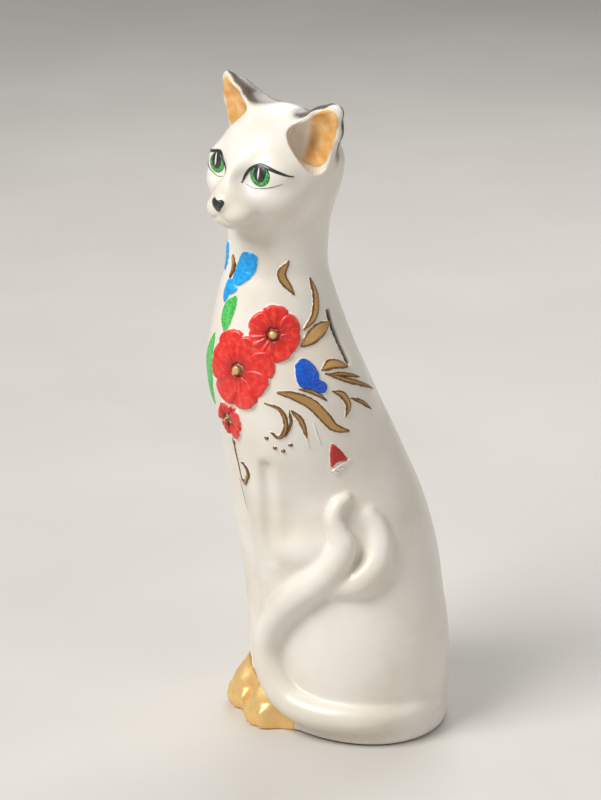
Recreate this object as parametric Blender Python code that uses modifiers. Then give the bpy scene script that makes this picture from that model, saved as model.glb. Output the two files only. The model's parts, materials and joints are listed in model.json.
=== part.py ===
"""Seated ceramic cat money box with relief flowers and a base stopper.

Metres, +Z up. The cat faces -Y and its left side is +X. Every table is in millimetres.
"""

import math

import bmesh
import bpy
from mathutils import Matrix, Vector

MM = 0.001

# Driving dimensions, millimetres
GAP = 0.3  # between two pieces that touch
WALL = 6.0  # thickness of the cast walls
FOOT_RECESS = 3.0  # the underside is set up by this much inside the foot ring
FLOOR = 5.0  # thickness of the floor above the recess
NECK_JOINT = 262.0  # height where the head is luted onto the body
SLOT_LENGTH = 30.0
SLOT_WIDTH = 3.2
SLOT_PLACE = (127.0, 212.8)  # angle round the body from the front, height
SLOT_LEAN = 4.0  # degrees off the vertical
HOLE_RADIUS = 18.0
HOLE_Y = 8.5
CENTRE_SHIFT = (-2.25, 8.4)  # brings the middle of the outline over the origin

# Torso sections: height, middle in Y, half depth, half width
TORSO = (
    (-6, 8.5, 43, 60),
    (0, 8.5, 46, 63.5),
    (5, 8.5, 48, 64),
    (31, 7.5, 49.5, 62),
    (60, 5.5, 49.5, 59),
    (88, 3.0, 49.5, 54),
    (116, -2.5, 48.0, 48),
    (144, -11.5, 45.5, 43),
    (173, -22.5, 43, 40),
    (189, -27.5, 41, 38),
    (206, -31.5, 37.5, 35),
    (234, -33.5, 29.5, 29),
    (248, -33.2, 25.5, 25.5),
    (262, -32.8, 23, 23),
    (280, -32, 22.5, 23),
    (304, -30, 23, 23),
)
# Foreleg stations: distance from the middle, Y, height, radius
FORELEG = (
    (15, -38, 184, 20),
    (15.5, -38.5, 150, 18),
    (15, -36, 120, 16.5),
    (14.5, -32.5, 85, 14.5),
    (14, -29.5, 45, 13.5),
    (14, -29, -4, 13.5),
)
HAUNCH = ((27, 10, 46), (32, 36, 46))
SHOULDER = ((23, -25, 170), (18, 29, 38))

# Tail roll: X, Y, height, radius
TAIL = (
    (52, 34, 16, 4),
    (57, 22, 15, 6.5),
    (60, 8, 14.5, 7.5),
    (59.5, -4, 14.5, 8),
    (53.5, -17, 14.5, 8),
    (42, -30, 15.5, 8),
    (30, -39, 20, 8),
    (21.5, -44, 31, 8),
    (18, -45.5, 45, 8),
    (22.5, -43.5, 60, 8),
    (33, -37, 75, 8.5),
    (42, -28, 86, 8.5),
    (47.5, -20, 96, 8),
    (49.5, -15.5, 107, 7),
    (48, -18, 117, 5.5),
    (46, -20, 125, 4.8),
    (45, -17, 132, 4.5),
    (45, -12.5, 134.5, 3.6),
)
TAIL_LOBE = (
    (46, -18, 85, 7),
    (51.5, -8, 88, 8),
    (52, 0, 95, 8),
    (50, 4, 105, 7),
    (47, 3.5, 114, 6),
    (45, 0, 121, 4.5),
)

# Head, in its own frame: X to the cat's left, Y to the back, Z up, from the eye line
HEAD_PLACE = (5.0, -34.8, 302.8)
HEAD_YAW = 28.0
HEAD_ROLL = 4.5
SKULL = ((0, 2, 0), (31, 32, 26.5))
FACE = ((0, -14, -12), (23, 22, 16))
MUZZLE = ((0, -30, -18), (10, 11.5, 8.5))
CHIN = ((0, -29, -25), (8.5, 9.5, 6))
EAR_ROOT = (21, 1, 12)
EAR_TIP = (37.5, -0.5, 36)
EAR_HALF_WIDTH = 14.0
EAR_DEPTH = 7.0
EAR_TIP_DEPTH = 4.2
EAR_SHELL = 2.6
LINING = 0.9
PAW_MIDDLE = -3.0  # the paws stand this far off the middle
PAW_SPREAD = 13.0
TOES = (-1.5, -0.5, 0.5, 1.5)  # places of the four toes across a paw, in spacings
TOE_SPACING = 6.0
EYE_X = 14.8
EYE_SIZE = (6.6, 5.2)

RELIEF = 1.1  # thickness of a sprigged relief
CLEAR = 0.6  # a relief stands this far off the casting, measured straight out
PATCH_STEP = 6.0  # spacing of the grid inside a relief


def clear_scene():
    for obj in list(bpy.data.objects):
        bpy.data.objects.remove(obj)


def new_collection(name, hidden=False):
    made = bpy.data.collections.new(name)
    bpy.context.scene.collection.children.link(made)
    made.hide_render = hidden
    return made


def new_material(name, colour, metallic=0.0, roughness=0.3):
    made = bpy.data.materials.new(name)
    made.use_nodes = True
    shader = made.node_tree.nodes["Principled BSDF"]
    shader.inputs["Base Color"].default_value = (*colour, 1.0)
    shader.inputs["Metallic"].default_value = metallic
    shader.inputs["Roughness"].default_value = roughness
    return made


def new_object(name, mesh, material, collection):
    made = bpy.data.objects.new(name, mesh)
    collection.objects.link(made)
    if material:
        mesh.materials.clear()
        mesh.materials.append(material)
    return made


def mesh_of(bm, name, smooth=True):
    bmesh.ops.recalc_face_normals(bm, faces=bm.faces)
    mesh = bpy.data.meshes.new(name)
    for face in bm.faces:
        face.smooth = smooth
    bm.to_mesh(mesh)
    bm.free()
    return mesh


def evaluated_mesh(obj):
    bpy.context.view_layer.update()
    graph = bpy.context.evaluated_depsgraph_get()
    return bpy.data.meshes.new_from_object(obj.evaluated_get(graph))


def smooth_path(rows, steps=5):
    """A Catmull-Rom path through rows of numbers."""
    rows = [list(row) for row in rows]
    first = [2 * a - b for a, b in zip(rows[0], rows[1])]
    last = [2 * a - b for a, b in zip(rows[-1], rows[-2])]
    rows = [first, *rows, last]
    path = []
    for index in range(1, len(rows) - 2):
        near = rows[index - 1 : index + 3]
        for step in range(steps):
            path.append([catmull(*values, step / steps) for values in zip(*near)])
    path.append(rows[-2])
    return path


def catmull(a, b, c, d, t):
    return 0.5 * (2 * b + (c - a) * t + (2 * a - 5 * b + 4 * c - d) * t**2 + (3 * b - a - 3 * c + d) * t**3)


def add_ball(bm, centre, radii, turn=None, segments=20):
    place = Matrix.Translation(Vector(centre) * MM)
    if turn:
        place = place @ turn.to_4x4()
    place = place @ Matrix.Diagonal([*(r * MM for r in radii), 1.0])
    bmesh.ops.create_uvsphere(bm, u_segments=segments, v_segments=segments // 2, radius=1.0, matrix=place)


def add_limb(bm, stations):
    """A round limb with a changing radius, made from a bevelled curve with a ball at each end."""
    path = smooth_path(stations)
    curve = bpy.data.curves.new("limb", "CURVE")
    curve.dimensions = "3D"
    curve.bevel_depth = MM
    curve.bevel_resolution = 3
    curve.use_fill_caps = True
    spline = curve.splines.new("POLY")
    spline.points.add(len(path) - 1)
    for point, (x, y, z, radius) in zip(spline.points, path):
        point.co = (x * MM, y * MM, z * MM, 1.0)
        point.radius = radius
    holder = bpy.data.objects.new("limb", curve)
    bpy.context.scene.collection.objects.link(holder)
    bm.from_mesh(evaluated_mesh(holder))
    bpy.data.objects.remove(holder)
    for end in (path[0], path[-1]):
        add_ball(bm, end[:3], [end[3]] * 3, segments=16)


def ellipse(middle, half_x, half_y, height, count):
    ring = []
    for index in range(count):
        angle = 2 * math.pi * index / count
        ring.append((middle[0] + half_x * math.cos(angle), middle[1] + half_y * math.sin(angle), height))
    return ring


def add_loft(bm, rings):
    """Skins rings of equal length into one closed solid."""
    loops = [[bm.verts.new(Vector(point) * MM) for point in ring] for ring in rings]
    count = len(loops[0])
    for low, high in zip(loops, loops[1:]):
        for index in range(count):
            following = (index + 1) % count
            bm.faces.new((low[index], low[following], high[following], high[index]))
    bm.faces.new(loops[0][::-1])
    bm.faces.new(loops[-1])


def torso_section(height):
    path = smooth_path(TORSO)
    for low, high in zip(path, path[1:]):
        if low[0] <= height <= high[0]:
            part = (height - low[0]) / (high[0] - low[0])
            return [a + part * (b - a) for a, b in zip(low, high)]
    raise ValueError(height)


def torso_rings(inset=0.0, lowest=-6.0, count=32):
    rings = []
    heights = [lowest, *(row[0] for row in smooth_path(TORSO, 2) if row[0] > lowest + 2)]
    for height in heights:
        _, middle, half_y, half_x = torso_section(height)
        rings.append(ellipse((0, middle), half_x - inset, half_y - inset, height, count))
    return rings


def head_turn():
    return Matrix.Rotation(math.radians(HEAD_YAW), 3, "Z") @ Matrix.Rotation(math.radians(HEAD_ROLL), 3, "Y")


def on_head(point):
    return tuple(Vector(HEAD_PLACE) + head_turn() @ Vector(point))


def add_modifier(obj, kind, name, **values):
    made = obj.modifiers.new(name, kind)
    for key, value in values.items():
        setattr(made, key, value)
    return made


def settle(obj, voxel, triangles, rounds):
    """Fuses overlapping shells into one smooth skin and thins it to about the given triangle count."""
    add_modifier(obj, "REMESH", "fuse", mode="VOXEL", voxel_size=voxel * MM, use_smooth_shade=True)
    add_modifier(obj, "SMOOTH", "soften", factor=0.5, iterations=rounds)
    dense = evaluated_mesh(obj)
    dense.calc_loop_triangles()
    ratio = min(1.0, triangles / len(dense.loop_triangles))
    add_modifier(obj, "DECIMATE", "thin", ratio=ratio, use_collapse_triangulate=True)
    fused = evaluated_mesh(obj)
    fused.shade_smooth()
    obj.modifiers.clear()
    obj.data = fused
    return obj


def cut(obj, cutter):
    add_modifier(obj, "BOOLEAN", "cut " + cutter.name, operation="DIFFERENCE", object=cutter, solver="EXACT")


def keep_inside(form, keeper):
    """Trims a form to a box for good."""
    add_modifier(form, "BOOLEAN", "trim", operation="INTERSECT", object=keeper, solver="EXACT")
    form.data = evaluated_mesh(form)
    form.modifiers.clear()


def box(name, centre, size, collection, turn=None):
    bm = bmesh.new()
    place = Matrix.Translation(Vector(centre) * MM)
    if turn:
        place = place @ turn.to_4x4()
    place = place @ Matrix.Diagonal([*(s * MM for s in size), 1.0])
    bmesh.ops.create_cube(bm, size=1.0, matrix=place)
    return cutter_object(name, mesh_of(bm, name, smooth=False), collection)


def cutter_object(name, mesh, collection):
    made = new_object(name, mesh, None, collection)
    made.hide_render = True
    made.display_type = "WIRE"
    return made


def form_of_body(collection):
    bm = bmesh.new()
    add_loft(bm, torso_rings())
    for side in (1, -1):
        for (x, y, z), radii in (HAUNCH, SHOULDER):
            add_ball(bm, (side * x, y, z), radii, segments=28)
        add_limb(bm, [(side * x, y, z, r) for x, y, z, r in FORELEG])
    form = cutter_object("form_body", mesh_of(bm, "form_body"), collection)
    settle(form, 3.0, 3000, 14)
    keep = box("keep_body", (0, 0, NECK_JOINT / 2), (200, 240, NECK_JOINT - GAP), collection)
    keep.location.z = -GAP / 2 * MM
    keep_inside(form, keep)
    return form


def form_of_head(collection):
    bm = bmesh.new()
    turn = head_turn()
    for centre, radii in (SKULL, FACE, MUZZLE, CHIN):
        add_ball(bm, on_head(centre), radii, turn, segments=32)
    neck = [(*on_head((0, 8, -12)), 23), (0, -32.5, 266, 22.8), (0, -33, 246, 25.5)]
    add_limb(bm, neck)
    form = cutter_object("form_head", mesh_of(bm, "form_head"), collection)
    settle(form, 2.0, 1300, 14)
    keep = box("keep_head", (0, -30, NECK_JOINT + 60), (200, 200, 120), collection)
    keep_inside(form, keep)
    return form


def grown(form, name, collection):
    """A copy of a form pushed outward by the gap, used to trim the pieces laid on it."""
    made = cutter_object(name, form.data.copy(), collection)
    add_modifier(made, "DISPLACE", "grow", strength=GAP * MM, mid_level=0.0, direction="NORMAL")
    return made


def hollow_cutter(collection):
    bm = bmesh.new()
    add_loft(bm, torso_rings(WALL, FOOT_RECESS + FLOOR, 20))
    return cutter_object("cutter_hollow", mesh_of(bm, "cutter_hollow"), collection)


def round_cutter(name, centre, radii, depth, collection):
    bm = bmesh.new()
    place = Matrix.Translation(Vector(centre) * MM) @ Matrix.Diagonal((radii[0] * MM, radii[1] * MM, 1.0, 1.0))
    bmesh.ops.create_cone(
        bm, cap_ends=True, segments=40, radius1=1.0, radius2=1.0, depth=depth * MM, matrix=place
    )
    return cutter_object(name, mesh_of(bm, name), collection)


def body_casting(form, glaze, parts, cutters):
    body = new_object("body_casting", form.data.copy(), glaze, parts)
    cut(body, hollow_cutter(cutters))
    cut(body, round_cutter("cutter_foot", (0, HOLE_Y, 0), (42, 35), 2 * FOOT_RECESS, cutters))
    cut(body, round_cutter("cutter_base_hole", (0, HOLE_Y, 6), (HOLE_RADIUS, HOLE_RADIUS), 16, cutters))
    point, normal, right, up = body_frame(form, *SLOT_PLACE)
    lean = math.radians(SLOT_LEAN)
    long_way = up * math.cos(lean) - right * math.sin(lean)
    turn = Matrix((normal, long_way, normal.cross(long_way))).transposed()
    slot = box("cutter_slot", point, (24, SLOT_LENGTH, SLOT_WIDTH), cutters, turn)
    cut(body, slot)
    return body


def head_casting(form, glaze, parts, cutters):
    head = new_object("head_casting", form.data.copy(), glaze, parts)
    bm = bmesh.new()
    add_ball(bm, on_head(SKULL[0]), [r - WALL for r in SKULL[1]], head_turn(), segments=20)
    add_limb(bm, [(*on_head((0, 8, -8)), 16), (0, -32, 268, 16.5), (0, -33, 250, 16.5)])
    space = cutter_object("cutter_head_hollow", mesh_of(bm, "cutter_head_hollow"), cutters)
    settle(space, 3.0, 400, 4)
    cut(head, space)
    return head


def body_frame(form, angle, height):
    """The surface point at an angle round the body from the front, with its normal, right and up."""
    middle = torso_section(height)[1]

    def hit(turned, raised):
        radians = math.radians(angle + turned)
        way = Vector((math.sin(radians), -math.cos(radians), 0.0))
        start = Vector((0.0, middle, height + raised)) * MM
        found, place, _, _ = form.ray_cast(start, way)
        if not found:
            raise ValueError((angle, height))
        return place / MM

    across = hit(4, 0) - hit(-4, 0)
    along = hit(0, 5) - hit(0, -5)
    normal = across.cross(along).normalized()
    up = (Vector((0, 0, 1)) - normal * normal.z).normalized()
    return hit(0, 0), normal, up.cross(normal), up


def head_frame(form, point):
    """The face surface in front of a point given in the head's frame."""
    turn = head_turn()
    way = turn @ Vector((0, -1, 0))

    def hit(aside, raised):
        start = Vector(on_head((point[0] + aside, point[1], point[2] + raised))) * MM
        found, place, _, _ = form.ray_cast(start, way)
        if not found:
            raise ValueError(point)
        return place / MM

    across = hit(2, 0) - hit(-2, 0)
    along = hit(0, 2) - hit(0, -2)
    normal = across.cross(along).normalized()
    up = (Vector((0, 0, 1)) - normal * normal.z).normalized()
    return hit(0, 0), normal, up.cross(normal), up


def disc(half_x, half_y, lobes=0, depth=0.0, turned=0.0, count=24):
    """An oval outline, optionally lobed like a flower."""
    tilt = math.radians(turned)
    outline = []
    for index in range(count):
        angle = 2 * math.pi * index / count
        reach = 1.0 - depth * (0.5 - 0.5 * math.cos(lobes * angle))
        x = half_x * reach * math.cos(angle)
        y = half_y * reach * math.sin(angle)
        outline.append((x * math.cos(tilt) - y * math.sin(tilt), x * math.sin(tilt) + y * math.cos(tilt)))
    return outline


def blade(line, width):
    """A leaf outline: widest in its middle and narrow at both ends of the given line."""
    path = smooth_path(line, 4)
    left, right = [], []
    for index, point in enumerate(path):
        before = path[max(index - 1, 0)]
        after = path[min(index + 1, len(path) - 1)]
        way = Vector((after[0] - before[0], after[1] - before[1])).normalized()
        part = index / (len(path) - 1)
        half = width / 2 * max(math.sin(math.pi * part) ** 0.7, 0.16)
        left.append((point[0] - way.y * half, point[1] + way.x * half))
        right.append((point[0] + way.y * half, point[1] - way.x * half))
    return left + right[::-1]


def wing(points):
    """A closed smooth outline through the given corners."""
    rows = [points[-1], *points, points[0], points[1]]
    outline = []
    for index in range(1, len(rows) - 2):
        near = rows[index - 1 : index + 3]
        for step in range(3):
            outline.append(tuple(catmull(*values, step / 3) for values in zip(*near)))
    return outline


def patch(name, outline, frame, form, material, parts, lift=CLEAR, thickness=RELIEF):
    """A thin relief: a flat grid inside the outline, wrapped onto the form and thickened outward."""
    point, normal, right, up = frame
    bm = bmesh.new()
    bm.faces.new([bm.verts.new((x * MM, y * MM, 0.0)) for x, y in outline])
    bmesh.ops.recalc_face_normals(bm, faces=bm.faces)
    if bm.faces[:][0].normal.z < 0:
        bmesh.ops.reverse_faces(bm, faces=bm.faces)
    for axis in (0, 1):
        values = [vertex[axis] for vertex in outline]
        count = int((max(values) - min(values)) / PATCH_STEP)
        for index in range(count):
            middle = (max(values) + min(values)) / 2 + (index - (count - 1) / 2) * PATCH_STEP
            geometry = bm.verts[:] + bm.edges[:] + bm.faces[:]
            place = Vector((middle * MM if axis == 0 else 0.0, middle * MM if axis == 1 else 0.0, 0.0))
            along = Vector((1, 0, 0)) if axis == 0 else Vector((0, 1, 0))
            bmesh.ops.bisect_plane(bm, geom=geometry, dist=0.0003 * MM, plane_co=place, plane_no=along)
    bmesh.ops.remove_doubles(bm, verts=bm.verts, dist=0.05 * MM)
    bmesh.ops.triangulate(bm, faces=bm.faces)
    mesh = bpy.data.meshes.new(name)
    bm.to_mesh(mesh)
    bm.free()
    made = new_object(name, mesh, material, parts)
    turn = Matrix((right, up, normal)).transposed().to_4x4()
    made.matrix_world = Matrix.Translation((point + normal * 15.0) * MM) @ turn
    add_modifier(
        made, "SHRINKWRAP", "wrap", target=form, wrap_method="PROJECT", use_project_z=True,
        use_negative_direction=True, use_positive_direction=False, offset=lift * MM,
    )
    add_modifier(made, "SOLIDIFY", "thicken", thickness=thickness * MM, offset=1.0, use_even_offset=False)
    mesh = evaluated_mesh(made)
    mesh.transform(made.matrix_world)
    made.modifiers.clear()
    made.data = mesh
    made.matrix_world = Matrix.Identity(4)
    return made


def bead(name, frame, radii, lift, material, parts, aside=(0.0, 0.0), turned=0.0):
    """A flattened ball standing off the surface."""
    point, normal, right, up = frame
    turn = Matrix((right, up, normal)).transposed() @ Matrix.Rotation(math.radians(turned), 3, "Z")
    centre = point + right * aside[0] + up * aside[1] + normal * (lift + radii[2])
    bm = bmesh.new()
    add_ball(bm, centre, radii, turn, segments=12)
    return new_object(name, mesh_of(bm, name), material, parts)


def crescent(centre, way_x, way_y, half, back, front, count=12):
    """One section of an ear shell: a bulged back edge and a hollow front edge."""
    ring = []
    for index in range(count + 1):
        angle = math.pi * index / count
        ring.append(centre + way_x * half * math.cos(angle) + way_y * back * math.sin(angle))
    for index in range(count - 1, 0, -1):
        angle = math.pi * index / count
        ring.append(centre + way_x * half * 0.9 * math.cos(angle) + way_y * front * math.sin(angle))
    return ring


def ear_rings(side, inset, thickness, stations):
    root = Vector(EAR_ROOT)
    tip = Vector(EAR_TIP)
    axis = (tip - root).normalized()
    way_y = Vector((-0.3, 0.95, 0.0))
    way_y = (way_y - axis * way_y.dot(axis)).normalized()
    way_x = way_y.cross(axis).normalized()
    rings = []
    for part in stations:
        half = max(EAR_HALF_WIDTH * (1.0 - max(part, 0.0) ** 1.25), 1.6) - 0.6 * inset
        depth = EAR_DEPTH * (1.0 - part) + EAR_TIP_DEPTH - inset
        section = crescent(root + (tip - root) * part, way_x, way_y, half, depth, depth - thickness)
        rings.append([on_head((side * point.x, point.y, point.z)) for point in section])
    return rings


def ear(side, word, glaze, gold, head_grown, parts):
    bm = bmesh.new()
    add_loft(bm, ear_rings(side, 0.0, EAR_SHELL, (-0.5, 0.0, 0.25, 0.5, 0.75, 0.9, 1.0)))
    shell = new_object("ear_" + word, mesh_of(bm, "ear_" + word), glaze, parts)
    cut(shell, head_grown)
    bm = bmesh.new()
    add_loft(bm, ear_rings(side, EAR_SHELL + GAP, LINING, (-0.2, 0.0, 0.25, 0.5, 0.72)))
    lining = new_object("ear_lining_" + word, mesh_of(bm, "ear_lining_" + word), gold, parts)
    cut(lining, head_grown)


def paw(side, word, gold, parts):
    x = PAW_MIDDLE + side * PAW_SPREAD
    bm = bmesh.new()
    add_ball(bm, (x, -38, 6), (12.6, 15.5, 20), segments=24)
    for toe in TOES:
        add_ball(bm, (x + toe * TOE_SPACING, -46.5 + abs(toe) * 2.4, 6), (4.0, 9.5, 8), segments=14)
    made = new_object("front_paw_" + word, mesh_of(bm, "front_paw_" + word), gold, parts)
    settle(made, 1.6, 560, 3)
    return made


def tail_roll(glaze, body_grown, parts, cutters):
    """The tail, trimmed to lie on the body. Returns its cutter for what lies under it."""
    bm = bmesh.new()
    add_limb(bm, TAIL)
    add_limb(bm, TAIL_LOBE)
    tail = new_object("tail", mesh_of(bm, "tail"), glaze, parts)
    settle(tail, 1.8, 800, 3)
    tail_grown = grown(tail, "tail_grown", cutters)
    cut(tail, body_grown)
    return tail_grown


def base_stopper(rubber, parts):
    """A soft plug with a flange that lies in the foot recess, turned about its own axis."""
    flange_top = FOOT_RECESS - GAP
    plug = HOLE_RADIUS - GAP
    profile = (
        (0, 2.2), (9, 2.2), (10, 1.0), (21, 1.0), (22, 1.6), (22, flange_top), (plug, flange_top),
        (plug, 9.5), (plug - 1.5, 13), (14.5, 13), (13.5, 5.5), (0, 5.5),
    )
    mesh = bpy.data.meshes.new("base_stopper")
    edges = [(index, index + 1) for index in range(len(profile) - 1)]
    mesh.from_pydata([(radius * MM, 0.0, height * MM) for radius, height in profile], edges, [])
    made = new_object("base_stopper", mesh, rubber, parts)
    made.location = (0.0, HOLE_Y * MM, 0.0)
    add_modifier(
        made, "SCREW", "turn", steps=40, render_steps=40, use_merge_vertices=True,
        merge_threshold=0.00005, use_normal_flip=True, use_smooth_shade=True,
    )
    return made


def flowers(form, red, gold, parts):
    for name, angle, height, size, turned, middle in (
        ("flower_1", 65.5, 218.4, (12.0, 14.0), -40.0, 2.8),
        ("flower_2", 33.0, 197.4, (12.5, 18.0), 45.0, 2.8),
        ("flower_3", 12.0, 169.2, (7.0, 8.5), 0.0, 1.6),
    ):
        frame = body_frame(form, angle, height)
        outline = disc(*size, lobes=6, depth=0.16, turned=turned, count=36)
        patch(name + "_petals", outline, frame, form, red, parts, thickness=1.6)
        bead(name + "_bead", frame, (middle, middle, 1.6), CLEAR + 1.6 + GAP, gold, parts)


def leaves(form, green, gold, parts):
    for name, angle, height, line, width in (
        ("green_leaf_upper", 22.5, 226.4, ((1.5, -8), (-2, 0), (1.5, 9)), 8.0),
        ("green_leaf_side", -5.0, 195.4, ((3, -17), (-1, -4), (-2, 8), (3, 18)), 8.5),
    ):
        patch(name, blade(line, width), body_frame(form, angle, height), form, green, parts)
    stem = ((-1, 9), (0.5, 0), (3, -7), (7, -10), (10, -7), (9.5, -2))
    patch("gold_stem", blade(stem, 2.0), body_frame(form, 2.0, 149.5), form, gold, parts)
    for name, angle, height, line, width in (
        ("gold_leaf_neck", 82.4, 246.3, ((0.3, 8.1), (-3.5, 1), (2.5, -8.8)), 4.5),
        ("gold_leaf_nape", 111.0, 232.3, ((-1.3, 12), (0.7, 2), (-2, -6.5), (-8, -11.5)), 3.5),
        ("gold_leaf_flower", 103.7, 216.4, ((-7.5, -3.9), (1, 1.5), (9.5, 4.7)), 7.0),
        ("gold_spray_1", 112.7, 199.8, ((-8, 0.3), (-1, 2.2), (7.4, -0.5)), 4.0),
        ("gold_spray_2", 115.3, 194.8, ((-8, 1.6), (1, 0.6), (12, -2.8)), 2.6),
        ("gold_spray_3", 118.2, 191.2, ((-5, -0.5), (4, -1), (20, -7)), 3.4),
        ("gold_leaf_hook", 106.7, 182.4, ((-4.5, 4.5), (0.5, 3), (3.2, -2.5), (1, -7.4)), 3.5),
        ("gold_leaf_outer", 121.4, 179.1, ((-6.4, 4), (1, 0.5), (8.1, -4.9)), 2.4),
        ("gold_leaf_long", 86.1, 179.8, ((-18, 10.4), (-5, 5.5), (4.6, -6), (17.4, -12.4)), 5.8),
        ("gold_scroll_1", 61.2, 175.6, ((-8.7, 8.3), (-1, 4.7), (1.5, -5.3), (-5.6, -7)), 2.2),
        ("gold_scroll_2", 67.6, 173.6, ((-0.5, 6.5), (0.3, 0), (0, -6.5)), 1.8),
        ("gold_scroll_3", 74.7, 174.6, ((-4.4, 5.5), (0, 0), (3, -8.6)), 2.0),
        ("gold_leaf_right_1", -86.0, 179.8, ((18, 10.4), (5, 5.5), (-4.6, -6), (-17.4, -12.4)), 5.8),
        ("gold_leaf_right_2", -111.0, 218.0, ((1.3, 12), (-0.7, 2), (2, -6.5), (8, -11.5)), 3.5),
        ("gold_leaf_right_3", -113.0, 196.5, ((8, 0.3), (1, 2.2), (-7.4, -0.5)), 4.0),
    ):
        patch(name, blade(line, width), body_frame(form, angle, height), form, gold, parts)
    for index, aside in enumerate(((-5, 3.3), (-0.6, -1.7), (3.6, -4.6), (7.5, -1)), 1):
        frame = body_frame(form, 53.0, 158.9)
        outline = [(x + aside[0], y + aside[1]) for x, y in disc(1.6, 1.6, count=10)]
        patch(f"gold_dot_{index}", outline, frame, form, gold, parts)


def butterflies(form, azure, blue, gold, parts):
    first = body_frame(form, 27.4, 247.4)
    upper = wing(((0.6, 7.5), (5, 9.2), (8.4, 8), (7.5, 0), (3.2, -5.2), (-1.2, -4)))
    lower = wing(((-3, -6), (0.5, -8.5), (-3.1, -11.3), (-9.6, -17), (-10.5, -13)))
    patch("butterfly_1_upper_wing", upper, first, form, azure, parts)
    patch("butterfly_1_lower_wing", lower, first, form, azure, parts)
    other = wing(((0, 6), (-4, 8), (-6, 4), (-3, -3)))
    patch("butterfly_1_far_wing", other, body_frame(form, -1.9, 248.8), form, azure, parts)
    bead("butterfly_1_body", body_frame(form, 13.1, 247.4), (1.5, 5.5, 1.3), CLEAR, gold, parts, turned=20.0)
    second = body_frame(form, 87.8, 196.6)
    upper = wing(((-6, 5.5), (-2.7, 9.8), (1.3, 8.5), (5.0, 3.1), (4.4, -3.5), (-4.4, -3.2)))
    lower = wing(((6.8, -1.5), (9.8, -4.6), (8, -7.4), (5.2, -6.0)))
    patch("butterfly_2_upper_wing", upper, second, form, blue, parts)
    patch("butterfly_2_lower_wing", lower, second, form, blue, parts)
    bead("butterfly_2_body", second, (4.2, 1.1, 1.1), CLEAR, gold, parts, aside=(-1.5, -6.2), turned=-15.0)
    bud = body_frame(form, 87.4, 155.5)
    petal = wing(((-1.9, 6), (2, 2), (6.3, -3.2), (1.2, -4), (-2, -6), (-3, 1)))
    patch("bud_petal", petal, bud, form, parts=parts, material=bpy.data.materials["red_enamel"])
    sepals = blade(((9, -5.5), (4, -7.6), (-1, -10)), 3.0)
    patch("bud_sepals", sepals, bud, form, bpy.data.materials["white_glaze"], parts)


def face(form, green, black, parts):
    for side, word in ((1, "left"), (-1, "right")):
        frame = head_frame(form, (side * EYE_X, 0.0, 0.0))
        iris = disc(*EYE_SIZE, turned=side * 8.0, count=20)
        patch("eye_" + word, iris, frame, form, green, parts, thickness=0.8)
        lift = CLEAR + 0.8 + GAP + 0.5
        patch("pupil_" + word, disc(2.2, 4.0, count=12), frame, form, black, parts, lift, 0.5)
    nose = head_frame(form, (0.0, -20.0, -15.5))
    patch("nose", wing(((-4.2, 2.2), (0, 2.8), (4.2, 2.2), (0, -4.2))), nose, form, black, parts, thickness=1.2)


def main():
    clear_scene()
    parts = new_collection("cat_money_box")
    cutters = new_collection("cutters", hidden=True)
    glaze = new_material("white_glaze", (0.86, 0.83, 0.78))
    gold = new_material("gold_lustre", (0.62, 0.38, 0.14), 0.9, 0.35)
    red = new_material("red_enamel", (0.75, 0.03, 0.02))
    green = new_material("green_enamel", (0.05, 0.45, 0.08))
    azure = new_material("azure_enamel", (0.0, 0.3, 0.8))
    blue = new_material("blue_enamel", (0.0, 0.1, 0.6))
    black = new_material("black_enamel", (0.02, 0.02, 0.025))
    rubber = new_material("stopper_rubber", (0.12, 0.12, 0.12), 0.0, 0.7)

    body_form = form_of_body(cutters)
    head_form = form_of_head(cutters)
    body_grown = grown(body_form, "form_body_grown", cutters)
    head_grown = grown(head_form, "form_head_grown", cutters)
    above_floor = box("cutter_floor", (0, 0, -20), (300, 300, 40), cutters)
    body_casting(body_form, glaze, parts, cutters)
    head_casting(head_form, glaze, parts, cutters)
    tail_grown = tail_roll(glaze, body_grown, parts, cutters)
    for side, word in ((1, "left"), (-1, "right")):
        ear(side, word, glaze, gold, head_grown, parts)
        foot = paw(side, word, gold, parts)
        for cutter in (above_floor, body_grown, tail_grown):
            cut(foot, cutter)
    flowers(body_form, red, gold, parts)
    leaves(body_form, green, gold, parts)
    butterflies(body_form, azure, blue, gold, parts)
    face(head_form, green, black, parts)
    base_stopper(rubber, parts)

    for collection in (parts, cutters):
        for obj in collection.objects:
            obj.location.x += CENTRE_SHIFT[0] * MM
            obj.location.y += CENTRE_SHIFT[1] * MM


main()
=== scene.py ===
"""Visual model of the seated ceramic cat money box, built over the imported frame.

Shapes are worked out in millimetres in the cat's own frame (front -Y, left +X, up +Z) as distance
fields on grids, then meshed and moved into the row frame in metres.
"""

import json
import math

import bpy
import numpy as np
from mathutils import Matrix, Vector

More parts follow.
